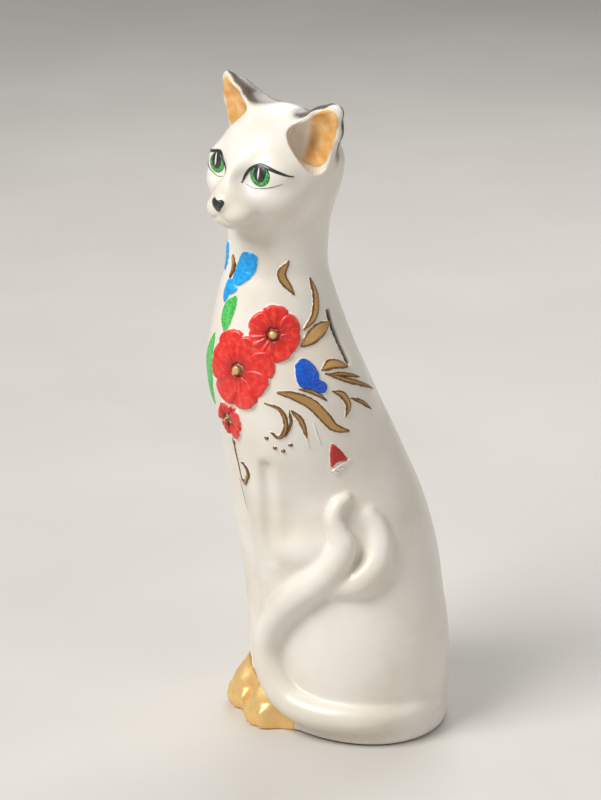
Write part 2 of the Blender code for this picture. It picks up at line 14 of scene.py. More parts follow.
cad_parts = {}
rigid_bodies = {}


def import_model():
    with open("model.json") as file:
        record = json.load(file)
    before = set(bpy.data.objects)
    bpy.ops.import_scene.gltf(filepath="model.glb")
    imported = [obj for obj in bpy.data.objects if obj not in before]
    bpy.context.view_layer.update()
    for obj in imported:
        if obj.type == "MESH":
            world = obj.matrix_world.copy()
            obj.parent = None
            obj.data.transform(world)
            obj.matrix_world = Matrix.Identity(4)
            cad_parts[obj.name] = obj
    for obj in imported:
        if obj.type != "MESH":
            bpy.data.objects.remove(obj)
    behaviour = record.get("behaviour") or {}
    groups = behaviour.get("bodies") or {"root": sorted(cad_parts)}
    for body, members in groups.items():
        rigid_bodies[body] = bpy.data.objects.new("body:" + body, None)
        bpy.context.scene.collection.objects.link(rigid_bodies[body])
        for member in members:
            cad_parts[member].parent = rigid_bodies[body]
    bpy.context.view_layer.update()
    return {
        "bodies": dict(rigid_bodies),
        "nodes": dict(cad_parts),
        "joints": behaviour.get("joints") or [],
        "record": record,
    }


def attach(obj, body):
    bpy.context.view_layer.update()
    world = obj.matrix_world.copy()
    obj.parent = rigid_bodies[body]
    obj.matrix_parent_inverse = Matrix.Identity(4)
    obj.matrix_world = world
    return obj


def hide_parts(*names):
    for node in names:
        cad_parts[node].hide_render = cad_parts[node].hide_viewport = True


MM = 0.001
SHIFT = (-2.25, 8.4, 0.0)  # from the cat's own frame to the row frame

# --- sizes of the cat
NECK_JOINT = 262.0
# Torso sections: height, middle in Y, half depth, half width
TORSO = (
    (-6, 8.5, 43, 60), (0, 8.5, 46, 63.5), (5, 8.5, 48, 64), (31, 7.5, 49.5, 62), (60, 5.5, 49.5, 59),
    (88, 3.0, 49.5, 54), (116, -2.5, 48.0, 48), (144, -11.5, 45.5, 43), (173, -22.5, 43, 40),
    (189, -27.5, 41, 38), (206, -31.5, 37.5, 35), (234, -33.5, 29.5, 29), (248, -33.2, 25.5, 25.5),
    (262, -32.8, 23, 23), (280, -32, 22.5, 23), (304, -30, 23, 23),
)
FORELEG = ((15, -38, 184, 20), (15.5, -38.5, 150, 18), (15, -36, 120, 16.5), (14.5, -32.5, 85, 14.5),
           (14, -29.5, 45, 13.5), (14, -29, -4, 13.5))
HAUNCH = ((27, 10, 46), (32, 36, 46))
SHOULDER = ((23, -25, 170), (18, 29, 38))
TAIL = (
    (52, 34, 16, 4), (57, 22, 15, 6.5), (60, 8, 14.5, 7.5), (59.5, -4, 14.5, 8), (53.5, -17, 14.5, 8),
    (42, -30, 15.5, 8), (30, -39, 20, 8), (21.5, -44, 31, 8), (18, -45.5, 45, 8), (22.5, -43.5, 60, 8),
    (33, -37, 75, 8.5), (42, -28, 86, 8.5), (47.5, -20, 96, 8), (49.5, -15.5, 107, 7),
    (48.5, -17.5, 115, 5.2), (47, -19.5, 122, 4.3), (46, -17, 128.5, 3.7), (45.5, -12.5, 131.5, 2.8),
)
KNEE = ((26, -22, 102), (18, 20, 12))
LEG_GROOVE = ((30, -50.5, 148, 1.2), (28.5, -49.5, 128, 2.2), (26, -48.5, 108, 2.4), (25.5, -47.5, 95, 1.2))
TAIL_LOBE = ((46, -18, 85, 7), (51.5, -8, 88, 8), (52, 0, 95, 8), (50, 4, 105, 7), (47, 3.5, 114, 6),
             (45, 0, 121, 4.5))
SLOT_PLACE = (127.0, 212.8)
SLOT_LENGTH = 30.0
SLOT_WIDTH = 3.2
SLOT_LEAN = 4.0
SLOT_DEPTH = 9.0
HOLE_RADIUS = 18.0
HOLE_Y = 8.5
HOLE_DEPTH = 16.0
FOOT_RECESS = 3.0
FOOT_RADII = (42.0, 35.0)  # half width and half depth of the recess inside the foot ring
BARE_HEIGHT = 0.6  # the base is unglazed up to this height
MARGIN = 1.2  # unpainted rim round a relief
SUNK = 0.35  # a relief's rim lies this far under the skin
PAW_MIDDLE = -3.0
PAW_SPREAD = 13.0
PAW_REACH = 25.0  # gold is laid no further than this in front of a paw's middle
PAW_SIDEWAYS = 0.76  # the share of that reach at the paw's sides
TOES = (-1.5, -0.5, 0.5, 1.5)
TOE_SPACING = 6.0

# Head, in its own frame: X to the cat's left, Y to the back, Z up, from the eye line
HEAD_PLACE = np.array([5.0, -34.8, 302.8])
HEAD_YAW = 28.0
HEAD_ROLL = 4.5
EYE_X = 14.5
EAR_ROOT = np.array([21.0, 1.0, 12.0])
EAR_TIP = np.array([35.6, 0.6, 32.6])
EAR_BACK = np.array([-0.3, 0.95, 0.0])
EAR_FLATTEN = 0.62


# --- painted work: names, angle round the body from the front, height, then shapes in (right, up)
FLOWERS = (
    ("flower_1", 65.5, 218.2, ((82, 15.5, 6.5), (137, 14, 6.2), (29, 14.5, 6.3), (-24, 14.2, 6.3),
                               (-70, 15, 6.3), (190, 12.5, 5.8), (-120, 12.5, 5.8)), 2.6),
    ("flower_2", 33.7, 198.9, ((108, 21, 8.3), (63, 19, 7.5), (15, 20.5, 8.3), (-28, 19, 7.5),
                               (-76, 21.5, 8.5), (-124, 21.5, 8.5), (182, 18, 7.8), (146, 18, 7.0)), 2.8),
    ("flower_3", 13.5, 169.6, ((12, 12, 5.4), (84, 9.5, 4.8), (160, 8.5, 4.6), (236, 9.5, 4.8),
                               (310, 12, 5.6)), 1.7),
)
GREEN_LEAVES = (
    ("green_leaf_upper", 22.5, 226.0, ((-2.5, -9.5), (-2.5, 0), (1.5, 8.5)), 9.0),
    ("green_leaf_side", 0.0, 194.2, ((2.5, 18), (-1.5, 4), (-4.5, -8), (-4, -20)), 10.0),
)
GOLD_LEAVES = (
    ("gold_stem", 2.5, 148.8, ((8.5, 8.5), (5, 0), (3, -8), (5, -13.5), (11, -14), (16.5, -8), (15, -3.5),
                                (11, -3)), 3.0),
    ("gold_leaf_neck", 82.4, 246.3, ((0.3, 8.1), (-3.2, 1), (2.4, -8.7)), 4.6),
    ("gold_leaf_nape", 111.0, 232.3, ((-1.0, 12.5), (0.8, 3), (-1.8, -6.5), (-8.8, -12.4)), 4.4),
    ("gold_leaf_flower", 103.7, 216.4, ((-7.8, -4.2), (1, 1), (9.6, 5.0)), 8.0),
    ("gold_spray_1", 112.7, 199.8, ((-8.4, 0.4), (-2, 2.0), (7.4, -1.0)), 5.4),
    ("gold_spray_2", 115.3, 194.8, ((-9.0, 2.6), (1, 0.8), (12, -2.8)), 2.6),
    ("gold_spray_3", 118.2, 191.2, ((-13.4, 7.6), (0.9, 0.3), (22.4, -8.0)), 3.0),
    ("gold_leaf_hook", 106.7, 182.4, ((-5.2, 6.4), (0.6, 3.4), (3.4, -2.5), (1.0, -7.6)), 4.0),
    ("gold_leaf_outer", 121.4, 179.1, ((-6.6, 4.4), (1, 0.4), (8.4, -5)), 2.6),
    ("gold_leaf_long", 86.1, 179.8, ((-18.8, 10.4), (-11, 8.4), (-2.5, 3.6), (4.6, -4.2), (9.5, -9.6),
                                     (17.2, -12.6)), 5.8),
    ("gold_scroll_1", 61.2, 175.6, ((-8.8, 8.2), (-1.4, 5.8), (1.8, 0), (1.6, -6), (-1.6, -9.4),
                                    (-5.6, -7)), 2.6),
    ("gold_scroll_2", 64.6, 173.6, ((0.4, 7.2), (1.2, 0), (-1.4, -7)), 1.8),
    ("gold_scroll_3", 73.2, 174.6, ((-4.8, 6), (0, 0.6), (3, -8.6)), 3.0),
    ("gold_leaf_right_1", -86.0, 179.8, ((18, 10.4), (5, 5.5), (-4.6, -6), (-17.4, -12.4)), 5.8),
    ("gold_leaf_right_2", -111.0, 218.0, ((1.3, 12), (-0.7, 2), (2, -6.5), (8, -11.5)), 3.8),
    ("gold_leaf_right_3", -113.0, 196.5, ((8, 0.3), (1, 2.2), (-7.4, -0.5)), 4.4),
)
DOTS_PLACE = (51.9, 161.9)
DOTS = ((-5, 3.3), (-0.6, -1.7), (3.6, -3.2), (7.4, 0.3))
# A wing's rows end with the place its grooves spread from and how close they lie
WINGS = (
    ("butterfly_1_upper_wing", 27.4, 248.1,
     ((-1.0, 8.2), (3.2, 10.2), (7.8, 9.2), (8.8, 5.6), (7.4, -0.4), (3.0, -6.0), (-3.0, -9.0), (-5.8, -6.0),
      (-4.0, 1.4)), (-8, 0), 13),
    ("butterfly_1_lower_wing", 27.4, 248.1,
     ((-5.4, -6.0), (-0.8, -9.6), (-2.6, -12.4), (-5.4, -13.8), (-8.6, -18.4), (-10.8, -14.2), (-9.4, -7.0)),
     (-7, 2), 13),
    ("butterfly_1_far_wing", -1.9, 250.0, ((0, 8), (-4, 9), (-6, 4), (-5, -4), (-2, -5)), (1, -1), 9),
    ("butterfly_2_upper_wing", 87.8, 196.6,
     ((-6.2, 6.0), (-2.8, 10.0), (1.3, 8.6), (5.4, 3.1), (5.6, -1.6), (3.6, -5.4), (-4.6, -3.9)),
     (-1, -10), 17),
    ("butterfly_2_lower_wing", 87.8, 196.6,
     ((4.6, -1.0), (9.6, -3.9), (9.0, -7.6), (4.6, -8.0), (1.8, -5.6)), (0, -6), 15),
)
BUTTERFLY_BODIES = (
    ("butterfly_1_body", 12.4, 247.6, ((-1.6, 6.4), (0.2, 1.0), (-1.4, -5.4)), 3.2),
    ("butterfly_2_body", 85.2, 190.0, ((-5.0, 1.4), (0.0, 0.3), (4.6, -1.9), (9.3, -5.4)), 2.6),
)
BUD_PLACE = (87.4, 155.5)
BUD_PETAL = ((-2.2, 6.2), (1.0, 4.0), (6.6, -3.4), (1.2, -4.2), (-2.2, -6.6), (-3.2, 0.5))
BUD_SEPALS = (
    (((8.6, -3.6), (3.5, -5.6), (-1.5, -8.6)), 1.8),
    (((5.6, -8.2), (2.0, -7.8), (-1.8, -8.6)), 1.6),
    (((2.6, -11.2), (0.4, -9.6), (-2.0, -8.4)), 1.6),
)
RIDGES = (
    ("ridge_long", 70.0, 166.0, ((-4, 10), (1, 3), (4, -6)), 1.2),
    ("gold_side_stem", 2.5, 148.8, ((5.4, 9), (1.5, 0), (-2.6, -10.5)), 1.8),
    ("ridge_bud", 87.0, 170.0, ((-6, 4), (-4, -3), (-2, -8)), 1.0),
)
THIN_STEM = ("thin_stem", -2.0, 124.0, ((-1.5, 8), (-0.5, 0), (1.5, -9)), 0.5)
IRIS = (5.8, 5.2)
PUPIL = (3.7, 4.4)
LID = ((5.8, -4.8), (6.6, -1.1), (9.3, 3.0), (12.7, 5.2), (15.5, 5.2), (19.3, 4.2), (23.6, 2.7), (27.0, 0.8))
LOWER_LID = ((7.4, -5.2), (12.6, -6.6), (20.6, -4.6), (25.3, -2.4))
GLINT = ((-0.9, 4.4), (-0.4, 1.2), (-0.6, -1.8))
NOSE = ((-4.9, -14.2), (-3.0, -12.7), (-0.5, -13.3), (2.0, -12.7), (3.9, -14.2), (2.6, -17.4), (-0.5, -20.4),
        (-3.6, -17.4))
CONCHA = ((-11.6, 0), (-10.2, 9), (-7.8, 17), (-3.2, 26), (3.0, 26), (7.8, 17), (10.4, 9), (11.4, 0),
          (8.6, -7), (0, -10.5), (-8.6, -7))
# Brown sprayed on the backs of the ears, and grey painted shade in the hollows of the face: place on the
# head, spread, strength
EAR_SMOKE = ((33, 4, 32, 7.5, 2.6), (27, 8, 28, 8, 2.8), (20, 7, 25, 7.5, 2.2), (12, 6, 21, 6.5, 1.0),
             (37, 9, 15, 7.5, 1.8), (38, 6, 26, 7.5, 2.2))
FACE_SHADE = ((15, -31, -16, 4.5, 0.35), (7, -34, -8, 3, 0.35), (19, -8, 19, 4, 0.3))
LENS = 179.1
VIEW_AZIMUTH = 70.0
VIEW_ELEVATION = 18.0
VIEW_DISTANCE = 2.115
VIEW_ASIDE = 0.0194
VIEW_RAISED = 0.1610


# --- distance fields
def turn_matrix(yaw, roll):
    a, b = math.radians(yaw), math.radians(roll)
    about_z = np.array([[math.cos(a), -math.sin(a), 0], [math.sin(a), math.cos(a), 0], [0, 0, 1]])
    about_y = np.array([[math.cos(b), 0, math.sin(b)], [0, 1, 0], [-math.sin(b), 0, math.cos(b)]])
    return about_z @ about_y


HEAD_TURN = turn_matrix(HEAD_YAW, HEAD_ROLL)


def on_head(x, y, z):
    return HEAD_PLACE + HEAD_TURN @ np.array([x, y, z], float)


def head_stations(rows):
    return [(*on_head(*row[:3]), row[3]) for row in rows]


NECK = ((*on_head(0, 8, -12), 23), (0, -32.5, 266, 22.5))


def ellipsoid(points, centre, radii, turn=None):
    local = points - np.asarray(centre, float)
    if turn is not None:
        local = local @ turn
    radii = np.asarray(radii, float)
    reach = np.linalg.norm(local / radii, axis=-1)
    slope = np.linalg.norm(local / radii**2, axis=-1)
    return reach * (reach - 1.0) / np.maximum(slope, 1e-9)


def smooth_path(rows, steps=6):
    """A Catmull-Rom path through rows of numbers."""
    rows = np.asarray(rows, float)
    rows = np.vstack([2 * rows[0] - rows[1], rows, 2 * rows[-1] - rows[-2]])
    path = []
    for i in range(1, len(rows) - 2):
        t = np.linspace(0, 1, steps, endpoint=False)[:, None]
        a, b, c, d = rows[i - 1], rows[i], rows[i + 1], rows[i + 2]
        path.append(
            0.5 * (2 * b + (c - a) * t + (2 * a - 5 * b + 4 * c - d) * t**2 + (3 * b - a - 3 * c + d) * t**3)
        )
    path.append(rows[-2][None])
    return np.vstack(path)


def limb(points, stations):
    """Distance to a chain of tapered round segments."""
    best = np.full(points.shape[:-1], 1e9)
    for start, end in zip(stations[:-1], stations[1:]):
        axis = end[:3] - start[:3]
        part = np.clip(((points - start[:3]) @ axis) / max(axis @ axis, 1e-9), 0, 1)
        away = np.linalg.norm(points - start[:3] - part[..., None] * axis, axis=-1)
        np.minimum(best, away - (start[3] + part * (end[3] - start[3])), out=best)
    return best


def join(a, b, blend):
    """Smooth union of two fields."""
    if blend <= 0:
        return np.minimum(a, b)
    near = np.maximum(blend - np.abs(a - b), 0) / blend
    return np.minimum(a, b) - near * near * blend * 0.25


def meet(a, b, blend):
    """Smooth intersection of two fields."""
    return -join(-a, -b, blend)


class Field:
    """A distance field on a grid that shapes are added to and carved from."""

    def __init__(self, low, high, step):
        self.low = np.asarray(low, float)
        self.step = step
        self.count = np.ceil((np.asarray(high, float) - self.low) / step).astype(int) + 1
        self.values = np.full(self.count, 60.0, np.float32)

    def points(self, block):
        axes = [self.low[i] + self.step * np.arange(block[i].start, block[i].stop) for i in range(3)]
        return np.stack(np.meshgrid(*axes, indexing="ij"), -1)

    def whole(self):
        return tuple(slice(0, int(n)) for n in self.count)

    def apply(self, shape, low, high, blend, carve=False):
        margin = blend + 4.0
        first = np.floor((np.asarray(low) - margin - self.low) / self.step).astype(int)
        last = np.ceil((np.asarray(high) + margin - self.low) / self.step).astype(int) + 1
        first, last = np.clip(first, 0, self.count), np.clip(last, 0, self.count)
        if (last <= first).any():
            return
        block = tuple(slice(int(a), int(b)) for a, b in zip(first, last))
        distance = shape(self.points(block))
        if carve:
            self.values[block] = meet(self.values[block], -distance, blend)
        else:
            self.values[block] = join(self.values[block], distance, blend)

    def ball(self, centre, radii, blend, turn=None, carve=False):
        reach = max(radii)
        centre = np.asarray(centre, float)
        self.apply(lambda p: ellipsoid(p, centre, radii, turn), centre - reach, centre + reach, blend, carve)

    def tube(self, stations, blend, carve=False):
        path = smooth_path(stations)
        low = (path[:, :3] - path[:, 3:4]).min(0)
        high = (path[:, :3] + path[:, 3:4]).max(0)
        self.apply(lambda p: limb(p, path), low, high, blend, carve)

    def sample(self, points):
        place = np.clip((points - self.low) / self.step, 0, self.count - 1.001)
        cell = place.astype(int)
        part = place - cell
        total = 0.0
        for dx in (0, 1):
            wx = part[..., 0] if dx else 1 - part[..., 0]
            for dy in (0, 1):
                wy = part[..., 1] if dy else 1 - part[..., 1]
                for dz in (0, 1):
                    wz = part[..., 2] if dz else 1 - part[..., 2]
                    value = self.values[cell[..., 0] + dx, cell[..., 1] + dy, cell[..., 2] + dz]
                    total = total + wx * wy * wz * value
        return total

    def slope(self, points):
        e = self.step * 0.8
        steps = np.eye(3) * e
        return np.stack([self.sample(points + s) - self.sample(points - s) for s in steps], -1) / (2 * e)


def net_faces(inside, ids):
    """The quads of a surface net, each round one grid edge that crosses the surface."""
    quads = []
    for axis in range(3):
        u, w = (axis + 1) % 3, (axis + 2) % 3
        low, high = [slice(None)] * 3, [slice(None)] * 3
        low[axis], high[axis] = slice(0, -1), slice(1, None)
        for side in (u, w):
            low[side] = high[side] = slice(1, -1)
        first, second = inside[tuple(low)], inside[tuple(high)]
        edge = np.argwhere(first != second)
        flip = second[tuple(edge.T)]
        edge[:, u] += 1
        edge[:, w] += 1
        corners = []
        for du, dw in ((1, 1), (0, 1), (0, 0), (1, 0)):
            cell = edge.copy()
            cell[:, u] -= du
            cell[:, w] -= dw
            corners.append(ids[tuple(cell.T)])
        quad = np.stack(corners, 1)
        quad[flip] = quad[flip][:, ::-1]
        quads.append(quad)
    return np.vstack(quads)


def net(values, low, step):
    """Surface net of a grid of values: points and quads, facing outward."""
    inside = values < 0
    n = np.array(values.shape) - 1
    corners = [(dx, dy, dz) for dx in (0, 1) for dy in (0, 1) for dz in (0, 1)]
    filled = sum(inside[a:a + n[0], b:b + n[1], c:c + n[2]].astype(np.int8) for a, b, c in corners)
    cells = (filled > 0) & (filled < 8)
    index = np.argwhere(cells)
    ids = np.full(cells.shape, -1, np.int64)
    ids[cells] = np.arange(len(index))
    total = np.zeros((len(index), 3))
    crossings = np.zeros(len(index))
    for corner in corners:
        for axis in range(3):
            if corner[axis]:
                continue
            other = list(corner)
            other[axis] = 1
            a = values[tuple((index + corner).T)].astype(float)
            b = values[tuple((index + other).T)].astype(float)
            crossed = (a < 0) != (b < 0)
            part = np.where(crossed, a / np.where(crossed, a - b, 1.0), 0.0)
            place = np.tile(np.array(corner, float), (len(index), 1))
            place[:, axis] += part
            total += place * crossed[:, None]
            crossings += crossed
    points = low + step * (index + total / crossings[:, None])
    return points, net_faces(inside, ids)


def settle(field, points, rounds=3):
    """Pulls net points onto the zero surface of a field."""
    for _ in range(rounds):
        slope = field.slope(points)
        distance = field.sample(points)
        points = points - (distance / np.maximum((slope * slope).sum(-1), 0.2))[:, None] * slope
    return points


# --- the sculpted cat
TORSO_PATH = smooth_path(TORSO, 8)


def torso_section(height):
    return [np.interp(height, TORSO_PATH[:, 0], TORSO_PATH[:, i]) for i in (1, 2, 3)]


def torso(points):
    middle, half_y, half_x = torso_section(points[..., 2])
    u = points[..., 0] / half_x
    v = (points[..., 1] - middle) / half_y
    reach = np.sqrt(u * u + v * v) + 1e-9
    slope = np.sqrt((u / half_x) ** 2 + (v / half_y) ** 2) / reach
    return np.clip((reach - 1.0) / np.maximum(slope, 1e-6), -40, 60) * 0.96


def add_torso(field, top):
    block = field.whole()
    points = field.points(block)
    distance = torso(points)
    height = points[..., 2]
    distance = meet(distance, -height, 2.5)
    field.values[block] = meet(distance, height - top, 3.0)


def sculpt_trunk(step):
    """The body with its legs and paws but without the tail."""
    field = Field((-70, -80, -3), (74, 72, 268), step)
    add_torso(field, 290.0)
    field.ball(*KNEE, 9)
    for side in (1, -1):
        (x, y, z), radii = HAUNCH
        field.ball((side * x, y, z), radii, 12)
        (x, y, z), radii = SHOULDER
        field.ball((side * x, y, z), radii, 14)
        field.tube([(side * x, y, z, r) for x, y, z, r in FORELEG], 5)
        paw_x = PAW_MIDDLE + side * PAW_SPREAD
        field.ball((paw_x, -38, 6), (12.6, 15.5, 20), 6)
        for toe in TOES:
            field.ball((paw_x + toe * TOE_SPACING, -46.5 + abs(toe) * 2.4, 5.5), (4.0, 9.5, 8), 2)
    field.tube(((0, -60, 160, 1.5), (0, -57, 115, 3), (0, -50, 60, 3.5), (0, -46, 10, 3)), 8, carve=True)
    field.tube(LEG_GROOVE, 6, carve=True)
    field.tube(NECK, 12)
    height = field.points(field.whole())[..., 2]
    field.values = meet(field.values, -height, 1.5)
    return field


def add_tail(field):
    field.tube(TAIL, 3)
    field.tube(TAIL_LOBE, 3)


def ear_frame(side):
    axis = EAR_TIP - EAR_ROOT
    axis = axis / np.linalg.norm(axis)
    back = EAR_BACK - axis * (EAR_BACK @ axis)
    back = back / np.linalg.norm(back)
    mirror = np.array([side, 1.0, 1.0])
    root = on_head(*(EAR_ROOT * mirror))
    tip = on_head(*(EAR_TIP * mirror))
    return root, tip, HEAD_TURN @ (back * mirror)


def ear_shape(side, root_radius, tip_radius, root_forward=0.0, tip_forward=0.0):
    """A tapered ear, flattened from front to back and moved forward by an amount at each end."""
    root, tip, back = ear_frame(side)
    root = root - back * root_forward
    tip = tip - back * tip_forward
    middle = root * 0.45 + tip * 0.55
    middle_radius = root_radius * 0.62 + tip_radius * 0.3
    stations = np.array([(*root, root_radius), (*middle, middle_radius), (*tip, tip_radius)])

    def shape(points):
        depth = (points - root) @ back
        stretched = points + back * (depth * (1.0 / EAR_FLATTEN - 1.0))[..., None]
        return limb(stretched, stations) * EAR_FLATTEN

    reach = root_radius + 2
    return shape, np.minimum(root, tip) - reach, np.maximum(root, tip) + reach


def sculpt_head(step):
    field = Field((-44, -92, 252), (52, 10, 360), step)
    add_torso(field, 296.0)
    turn = HEAD_TURN
    field.ball(on_head(0, 2, 0), (31, 32, 26.5), 14, turn)
    field.tube(NECK, 12)
    field.ball(on_head(0, -14, -12), (23, 22, 16), 12, turn)
    field.tube(head_stations(((0, -24, 2, 8), (0, -31, -8, 7.5), (0, -35, -15, 7))), 8)
    field.ball(on_head(0, -30, -25), (8.5, 9, 6), 6, turn)
    for side in (1, -1):
        field.ball(on_head(side * 6.5, -33, -20.5), (7, 7.5, 5.8), 5, turn)
        field.ball(on_head(side * 17, -13, -11), (11, 13, 10), 9, turn)
        field.ball(on_head(side * 12, -34.5, -2.5), (7.0, 4.5, 4.5), 7, turn, carve=True)
        field.ball(on_head(side * 15, -18.5, 0), (10.5, 9.5, 8), 5, turn)
        slope = ((side * 31, 4, 30, 3), (side * 25, 7, 25.5, 4), (side * 18, 8.5, 21.5, 4.8),
                 (0, 6.5, 15.3, 6.2))
        field.tube(head_stations(slope), 8)
        shape, low, high = ear_shape(side, 15.0, 5.0)
        field.apply(shape, low, high, 7)
        shape, low, high = ear_shape(side, 13.6, 3.7, 6.4, 3.0)
        field.apply(shape, low, high, 1.2, carve=True)
    field.ball(on_head(0, -40.5, -15.5), (3.6, 3.0, 2.8), 2.5, turn)
    mouth_left = ((0, -43.5, -18, 0.5), (0, -42, -22, 0.6), (5, -39.5, -25, 0.5))
    mouth_right = ((0, -42, -22, 0.6), (-5, -39.5, -25, 0.5))
    for line in (mouth_left, mouth_right):
        field.tube(head_stations(line), 1.2, carve=True)
    return field


# --- cuts in the castings
def close_at_neck(field, sign, reach):
    """Ends a field a little past the neck joint, drawn in there so that it lies under its neighbour."""
    height = field.points(field.whole())[..., 2]
    past = np.maximum(sign * (height - NECK_JOINT), 0.0)
    field.values = meet(field.values + 0.02 * past * past, past - reach, 1.0)


def slot_shape(frame):
    """The coin slot: a rounded box across the skin, leaning off the vertical."""
    place, right, up, normal = frame
    lean = math.radians(SLOT_LEAN)
    long_way = up * math.cos(lean) - right * math.sin(lean)
    axes = np.stack([np.cross(long_way, normal), long_way, normal], 1)
    half = np.array([SLOT_WIDTH / 2, SLOT_LENGTH / 2, SLOT_DEPTH])

    def shape(points):
        outside = np.abs((points - place) @ axes) - half
        return np.linalg.norm(np.maximum(outside, 0), axis=-1) + np.minimum(outside.max(-1), 0)

    return shape, place - SLOT_LENGTH / 2 - 2, place + SLOT_LENGTH / 2 + 2


def foot_shape(points):
    """The recess inside the foot ring."""
    x, y, z = points[..., 0], points[..., 1] - HOLE_Y, points[..., 2]
    wide, deep = FOOT_RADII
    ring = (np.sqrt((x / wide) ** 2 + (y / deep) ** 2) - 1.0) * deep
    return np.maximum(ring, z - FOOT_RECESS)


def hole_shape(points):
    away = np.hypot(points[..., 0], points[..., 1] - HOLE_Y) - HOLE_RADIUS
    return np.maximum(away, points[..., 2] - HOLE_DEPTH)


# --- places on a surface
def unit(vectors):
    return vectors / np.maximum(np.linalg.norm(vectors, axis=-1, keepdims=True), 1e-9)


def land(field, points, ways, sense=1.0, limit=90.0, rounds=40):
    """Moves points along ways to the surface, inward from outside or, with sense -1, outward from inside."""
    travel = np.zeros(points.shape[:-1])
    for _ in range(rounds):
        travel = travel + sense * 0.85 * field.sample(points + ways * travel[..., None])
        travel = np.minimum(travel, limit)
    return points + ways * travel[..., None]


def body_frame(field, angle, height):
    """Place, right, up and normal at an angle round the body from the front."""
    turn = math.radians(angle)
    start = np.array([[0.0, torso_section(height)[0], height]])
    way = np.array([[math.sin(turn), -math.cos(turn), 0.0]])
    place = land(field, start, way, -1.0)
    normal = unit(field.slope(place))[0]
    up = unit(np.array([0.0, 0.0, 1.0]) - normal * normal[2])
    return place[0], np.cross(up, normal), up, normal


def face_frame():
    """The plane before the face, with the head's own X and Z as its coordinates."""
    return on_head(0, -45, 0), HEAD_TURN[:, 0], HEAD_TURN[:, 2], -HEAD_TURN[:, 1]


def ear_plane(side):
    root, tip, back = ear_frame(side)
    up = unit(tip - root)
    return root, np.cross(up, -back), up, -back


def drape(field, frame, flat, lift, ahead=12.0):
    """Lays a flat grid of points onto the surface and lifts it off by the given heights."""
    place, right, up, normal = frame
    start = place + flat[..., :1] * right + flat[..., 1:2] * up + normal * ahead
    surface = land(field, start, np.broadcast_to(-normal, start.shape))
    return surface + unit(field.slope(surface)) * lift[..., None]


# --- flat shapes, each a grid of points with the distance in from the edge of its paint
def closed_path(points, steps):
    points = np.asarray(points, float)
    loop = smooth_path(np.vstack([points[-1:], points, points[:2]]), steps)
    loop = loop[steps:-steps - 1]
    nxt = np.roll(loop, -1, 0)
    area = (loop[:, 0] * nxt[:, 1] - loop[:, 1] * nxt[:, 0]).sum()
    return loop if area > 0 else loop[::-1]


def fan(outline, centre=None, margin=MARGIN, rings=14, steps=6):
    loop = closed_path(outline, steps)
    centre = loop.mean(0) if centre is None else np.asarray(centre, float)
    way = loop - centre
    length = np.linalg.norm(way, axis=1)
    way = way / length[:, None]
    along = np.roll(loop, -1, 0) - np.roll(loop, 1, 0)
    outward = unit(np.stack([along[:, 1], -along[:, 0]], 1))
    slant = np.clip((way * outward).sum(1), 0.5, 1.0)
    inner = length * np.linspace(0.04, 1.0, rings)[:, None]
    outer = length + margin / slant * np.array([[0.33], [0.67], [1.0]])
    radius = np.vstack([inner, outer])
    flat = centre + way * radius[..., None]
    return flat, (length - radius) * slant, True


def ribbon(line, width, margin=MARGIN, steps=10, blunt=0.3):
    path = smooth_path(line, steps)
    way = unit(np.gradient(path, axis=0))
    part = np.linspace(0, 1, len(path))
    half = width / 2 * np.maximum(np.sin(math.pi * part) ** 0.5, blunt)
    ends = margin * np.array([0.4, 0.75, 1.0])
    first = path[0] - way[0] * ends[::-1, None]
    last = path[-1] + way[-1] * ends[:, None]
    beyond = np.concatenate([ends[::-1], np.zeros(len(path)), ends])
    path = np.vstack([first, path, last])
    way = np.vstack([np.repeat(way[:1], 3, 0), way, np.repeat(way[-1:], 3, 0)])
    half = np.concatenate([np.repeat(half[:1], 3), half, np.repeat(half[-1:], 3)])
    across = np.array([-1.0, -0.75, -0.4, 0.0, 0.4, 0.75, 1.0])
    reach = np.sqrt(np.maximum(margin**2 - beyond**2, 0.01))
    rim = half[:, None] + reach[:, None] * np.array([0.5, 1.0])
    offset = np.concatenate([-rim[:, ::-1], half[:, None] * across, rim], 1)
    side = np.stack([-way[:, 1], way[:, 0]], 1)
    flat = path[:, None] + side[:, None] * offset[..., None]
    edge = half[:, None] - np.abs(offset) - beyond[:, None]
    return flat, edge, False


def petal(angle, reach, half_width, root=2.2):
    """One petal of a flower, wider toward its tip."""
    turn = math.radians(angle)
    way = np.array([math.cos(turn), math.sin(turn)])
    side = np.array([-way[1], way[0]])
    half = (reach - root) / 2
    outline = []
    for index in range(14):
        theta = 2 * math.pi * index / 14
        swell = 1.0 + 0.32 * math.cos(theta)
        dent = 1.0 - 0.07 * math.cos(theta) ** 8
        outline.append(way * (root + half + half * dent * math.cos(theta)) + side * half_width * swell
                       * math.sin(theta) * 0.9)
    flat, edge, closed = fan(outline, rings=16)
    out = flat @ way
    aside = flat @ side
    fold = np.cos(np.arctan2(aside, np.maximum(out, 0.5)) * 17.0) * np.clip(edge / 2, 0, 1)
    cup = np.clip(1.0 - out / reach, 0, 1)
    brushed = edge + 2.5 * np.clip((0.86 * reach - out) / 2.0, 0, 1)
    return flat, edge, closed, 0.16 * fold - 1.1 * cup * cup + 0.09 * aside, brushed


def disc(half_x, half_y, centre=(0.0, 0.0), count=12, **options):
    angles = 2 * math.pi * np.arange(count) / count
    outline = np.stack([half_x * np.cos(angles), half_y * np.sin(angles)], 1) + centre
    return fan(outline, centre, **options)


def rise(edge, thickness, margin, swell):
    """A relief's height: sunk at the rim of its margin and full some way in from the paint's edge."""
    part = np.clip((edge + margin) / (margin + swell), 0, 1)
    return (thickness + SUNK) * part * part * (3 - 2 * part) - SUNK


